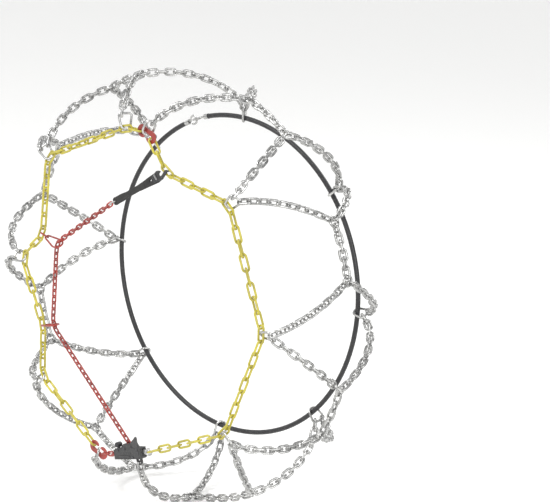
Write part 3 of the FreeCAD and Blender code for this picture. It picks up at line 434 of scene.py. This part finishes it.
def strap_mesh():
    """Moulded strap: rounded edges, a sunk channel down its band and grip ribs before its head."""
    stations = np.concatenate([np.linspace(5.0, 16.0, 23), np.linspace(16.5, 82, 60),
                               np.linspace(82.25, 104, 88), np.linspace(104.5, 117.9, 28)])
    ring = 36
    verts, faces = [], []
    for u in stations:
        low, high = strap_edges(u)
        middle, half = (low + high) / 2, (high - low) / 2
        rib = 0.0
        if RIBS_FROM <= u <= RIBS_TO:
            rib = RIB_HEIGHT * max(0.0, math.cos(2 * math.pi * (u - RIBS_FROM) / RIB_PITCH))
        taper = min(1.0, (u - 4.4) / 1.2, (118.3 - u) / 0.8)
        for j in range(ring):
            turn = 2 * math.pi * j / ring
            c, t = math.cos(turn), math.sin(turn)
            v = math.copysign(abs(c) ** SQUARENESS, c) * half
            w = math.copysign(abs(t) ** SQUARENESS, t) * HALF_THICK * taper
            inside = abs(v) / half
            if CHANNEL_FROM < u < CHANNEL_TO and inside < CHANNEL_SHARE:
                ends = min(1.0, (u - CHANNEL_FROM) / 3, (CHANNEL_TO - u) / 3)
                dip = 0.5 + 0.5 * math.cos(math.pi * inside / CHANNEL_SHARE)
                w -= math.copysign(CHANNEL_DEPTH * ends * dip, w)
            if inside < RIB_SHARE and w > 0:
                w += rib * (1 - (inside / RIB_SHARE) ** 4)
            verts.append((u, middle + v, w))
    count = len(stations)
    for k in range(count - 1):
        for j in range(ring):
            nxt = (j + 1) % ring
            faces.append((k * ring + j, (k + 1) * ring + j, (k + 1) * ring + nxt, k * ring + nxt))
    faces.append(tuple(range(ring)))
    faces.append(tuple((count - 1) * ring + j for j in reversed(range(ring))))
    return np.array(verts), faces


def slot_cutter(x1, y1, x2, y2, r, depth):
    """A round-ended bar to cut with, in the strap's own axes."""
    heading = math.atan2(y2 - y1, x2 - x1)
    rim = []
    for (x, y), start in (((x2, y2), -0.5), ((x1, y1), 0.5)):
        for k in range(13):
            turn = heading + math.pi * (start + k / 12)
            rim.append((x + r * math.cos(turn), y + r * math.sin(turn)))
    count = len(rim)
    verts = [(x, y, -depth) for x, y in rim] + [(x, y, depth) for x, y in rim]
    faces = [tuple(reversed(range(count))), tuple(range(count, 2 * count))]
    faces += [(k, (k + 1) % count, (k + 1) % count + count, k + count) for k in range(count)]
    return np.array(verts), faces


def carve(piece, verts, faces):
    """Cut a closed shape out of a piece."""
    mesh = bpy.data.meshes.new("cutter")
    mesh.from_pydata([tuple(v) for v in verts], [], faces)
    cutter = bpy.data.objects.new("cutter", mesh)
    bpy.context.scene.collection.objects.link(cutter)
    cut = piece.modifiers.new("cut", "BOOLEAN")
    cut.object, cut.solver, cut.operation = cutter, "EXACT", "DIFFERENCE"
    graph = bpy.context.evaluated_depsgraph_get()
    piece.data = bpy.data.meshes.new_from_object(piece.evaluated_get(graph))
    piece.modifiers.clear()
    bpy.data.objects.remove(cutter)


def dress_strap():
    """Moulded strap with its finger slot, in place of the CAD's plain one."""
    origin, along, across, out = own_frame(joints["strap_unhook"])
    axes = np.array([along, across, out])

    def set_down(verts):
        return (verts - np.array((STRAP_JOINT_U, 0, 0))) * 0.001 @ axes + origin

    verts, faces = strap_mesh()
    body = body_of(frame["nodes"]["rubber_strap"])[0]
    piece = make_piece("rubber_strap.moulded", set_down(verts), faces, RUBBER, body)
    verts, faces = slot_cutter(*FINGER_SLOT, 8)
    carve(piece, set_down(verts), faces)
    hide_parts("rubber_strap")


# ---------------------------------------------------------------- tension lock
# in the lock's own axes, in millimetres: along it, across it and outwards
LOCK_OUTLINE = [(3, -11.3), (62, -11.3), (64, -9.3), (64, 6.8), (50, 7.3), (46, 14), (28, 14),
                (21, 7.3), (11, 7), (3, 4)]
LOCK_PANEL = [(18, -4.4), (42, -4.4), (42, -1.0), (18, -1.0)]
LOCK_PAWL_AT, LOCK_ROLLER_AT = (13.0, 3.2), (28.5, 5.6)
COVER_FACE = 7.35


def lock_axes():
    """The lock's origin and directions, from the joints of its pawl and its roller."""
    pawl = np.array(joints["release_lever_tilt"]["pos_m"])
    step = np.array(joints["roller_spin"]["pos_m"]) - pawl
    rise = math.atan2(LOCK_ROLLER_AT[1] - LOCK_PAWL_AT[1], LOCK_ROLLER_AT[0] - LOCK_PAWL_AT[0])
    angle = math.atan2(step[2], step[0]) - rise
    along = np.array((math.cos(angle), 0.0, math.sin(angle)))
    across = np.array((-math.sin(angle), 0.0, math.cos(angle)))
    origin = pawl - (along * LOCK_PAWL_AT[0] + across * LOCK_PAWL_AT[1]) * 0.001
    return origin, np.array([along, across, (0.0, -1.0, 0.0)])


def inset(corners, depth):
    """A closed outline moved inwards by a depth."""
    moved = []
    for before, here, after in zip(corners[-1:] + corners[:-1], corners, corners[1:] + corners[:1]):
        first = np.subtract(here, before) / math.dist(here, before)
        second = np.subtract(after, here) / math.dist(after, here)
        left = np.array((-first[1] - second[1], first[0] + second[0]))
        reach = depth / max(np.dot(left, (-first[1], first[0])), 0.2)
        moved.append(tuple(np.array(here) + left * reach))
    return moved


def raised_band(corners, width, low, high):
    """A closed band with sloping sides that stands on a flat face."""
    outer, inner = inset(corners, -width / 2), inset(corners, width / 2)
    outer_top, inner_top = inset(corners, -width / 4), inset(corners, width / 4)
    count = len(corners)
    loops = [(outer, low), (outer_top, high), (inner_top, high), (inner, low)]
    verts = [(x, y, z) for loop, z in loops for x, y in loop]
    faces = []
    for ring in range(4):
        nxt = (ring + 1) % 4
        for k in range(count):
            after = (k + 1) % count
            faces.append((ring * count + k, ring * count + after, nxt * count + after, nxt * count + k))
    return verts, faces


def dress_lock():
    """Moulded border and a raised panel on the lock's cover."""
    origin, axes = lock_axes()
    body = body_of(frame["nodes"]["lock_cover"])[0]
    border = raised_band(inset(LOCK_OUTLINE, 1.0), 1.0, COVER_FACE - 0.1, COVER_FACE + 0.5)
    panel = raised_band(LOCK_PANEL, 0.8, COVER_FACE - 0.1, COVER_FACE + 0.4)
    for name, (verts, faces) in (("border", border), ("panel", panel)):
        spots = np.array(verts) * 0.001 @ axes + origin
        piece = make_piece("lock_cover." + name, spots, faces, LOCK_PLASTIC, body, smooth=False)


for node, obj in frame["nodes"].items():
    obj.data.materials.clear()
    obj.data.materials.append(OWN_LOOK.get(node, BY_SLOT[SLOT[node]]))
    if node.startswith("side_chain"):
        dress_chain(node, SIDE_LINK, YELLOW)
    elif node.startswith("tension_chain"):
        dress_chain(node, TENSION_LINK, RED)
    elif node.startswith("tread_cell") or node.startswith("tread_bridge"):
        dress_chain(node, TREAD_LINK, ZINC)
    elif node in SOFT_CORNERS:
        soften(obj, SOFT_CORNERS[node])
dress_strap()
dress_lock()


# ---------------------------------------------------------------- stage, lights and camera
low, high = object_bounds()
FLOOR_REACH = 9
floor_mesh = bpy.data.meshes.new("floor")
floor_corners = [(x * FLOOR_REACH, y * FLOOR_REACH, 0) for x, y in ((-1, -1), (1, -1), (1, 1), (-1, 1))]
floor_mesh.from_pydata(floor_corners, [], [(0, 1, 2, 3)])
floor = bpy.data.objects.new("floor", floor_mesh)
floor.location.z = low.z - 0.0005
pale = Shader("floor")
floor_mesh.materials.append(pale.done(Base_Color=(0.88, 0.88, 0.87), Roughness=0.7,
                                      Emission_Color=(1, 1, 1), Emission_Strength=0.16))
bpy.context.scene.collection.objects.link(floor)


def paint_world(tree):
    """A white room with dark flags that only show as reflections in the metal."""
    sky = tree.nodes["Background"]
    path = tree.nodes.new("ShaderNodeLightPath")
    direction = tree.nodes.new("ShaderNodeTexCoord").outputs["Generated"]
    flags = tree.nodes.new("ShaderNodeTexNoise")
    flags.inputs["Scale"].default_value = 2.2
    flags.inputs["Detail"].default_value = 0.0
    tree.links.new(direction, flags.inputs["Vector"])
    contrast = tree.nodes.new("ShaderNodeMapRange")
    for key, number in (("From Min", 0.44), ("From Max", 0.58), ("To Min", 0.01), ("To Max", 1.6)):
        contrast.inputs[key].default_value = number
    tree.links.new(flags.outputs["Fac"], contrast.inputs["Value"])
    blend = tree.nodes.new("ShaderNodeMix")
    tree.links.new(path.outputs["Is Glossy Ray"], blend.inputs[0])
    blend.inputs[2].default_value = 0.75
    tree.links.new(contrast.outputs["Result"], blend.inputs[3])
    tree.links.new(blend.outputs[0], sky.inputs["Strength"])
    sky.inputs["Color"].default_value = (1, 1, 1, 1)


world = bpy.data.worlds.new("studio")
bpy.context.scene.world = world
world.use_nodes = True
paint_world(world.node_tree)


def area_light(name, at, size, power):
    light = bpy.data.lights.new(name, "AREA")
    light.energy, light.size = power, size
    lamp = bpy.data.objects.new(name, light)
    lamp.location = at
    lamp.rotation_mode = "QUATERNION"
    lamp.rotation_quaternion = (-Vector(at)).to_track_quat("-Z", "Y")
    bpy.context.scene.collection.objects.link(lamp)


area_light("key", (-0.8, -2.4, 2.6), 1.2, 60)
area_light("fill", (2.8, -1.2, 1.0), 1.6, 25)
area_light("back", (0.5, 2.2, 2.0), 1.4, 25)

AZIMUTH, ELEVATION, ROLL = 43.2, 16.1, 3.2
DISTANCE, FOCAL_PX = 3.563, 2185.0
WIDE, HIGH = 550, 502
WHEEL_AT = (183.8, 286.8)  # where the wheel's centre stands in the frame, from the top left

turn, tilt, roll = (math.radians(angle) for angle in (AZIMUTH, ELEVATION, ROLL))
back = Vector((math.sin(turn) * math.cos(tilt), -math.cos(turn) * math.cos(tilt), math.sin(tilt)))
level = Vector((math.cos(turn), math.sin(turn), 0))
upright = back.cross(level)
right = level * math.cos(roll) + upright * math.sin(roll)
above = upright * math.cos(roll) - level * math.sin(roll)
look = -back + right * (WIDE / 2 - WHEEL_AT[0]) / FOCAL_PX + above * (WHEEL_AT[1] - HIGH / 2) / FOCAL_PX
look.normalize()
right = (right - look * right.dot(look)).normalized()
above = right.cross(look)
lens = bpy.data.cameras.new("camera")
lens.sensor_width, lens.lens = 36, 36 * FOCAL_PX / WIDE
camera = bpy.data.objects.new("camera", lens)
facing = Matrix((right, above, -look)).transposed().to_4x4()
camera.matrix_world = Matrix.Translation(back * DISTANCE) @ facing
bpy.context.scene.collection.objects.link(camera)
bpy.context.scene.camera = camera
bpy.context.scene.view_settings.view_transform = "Standard"
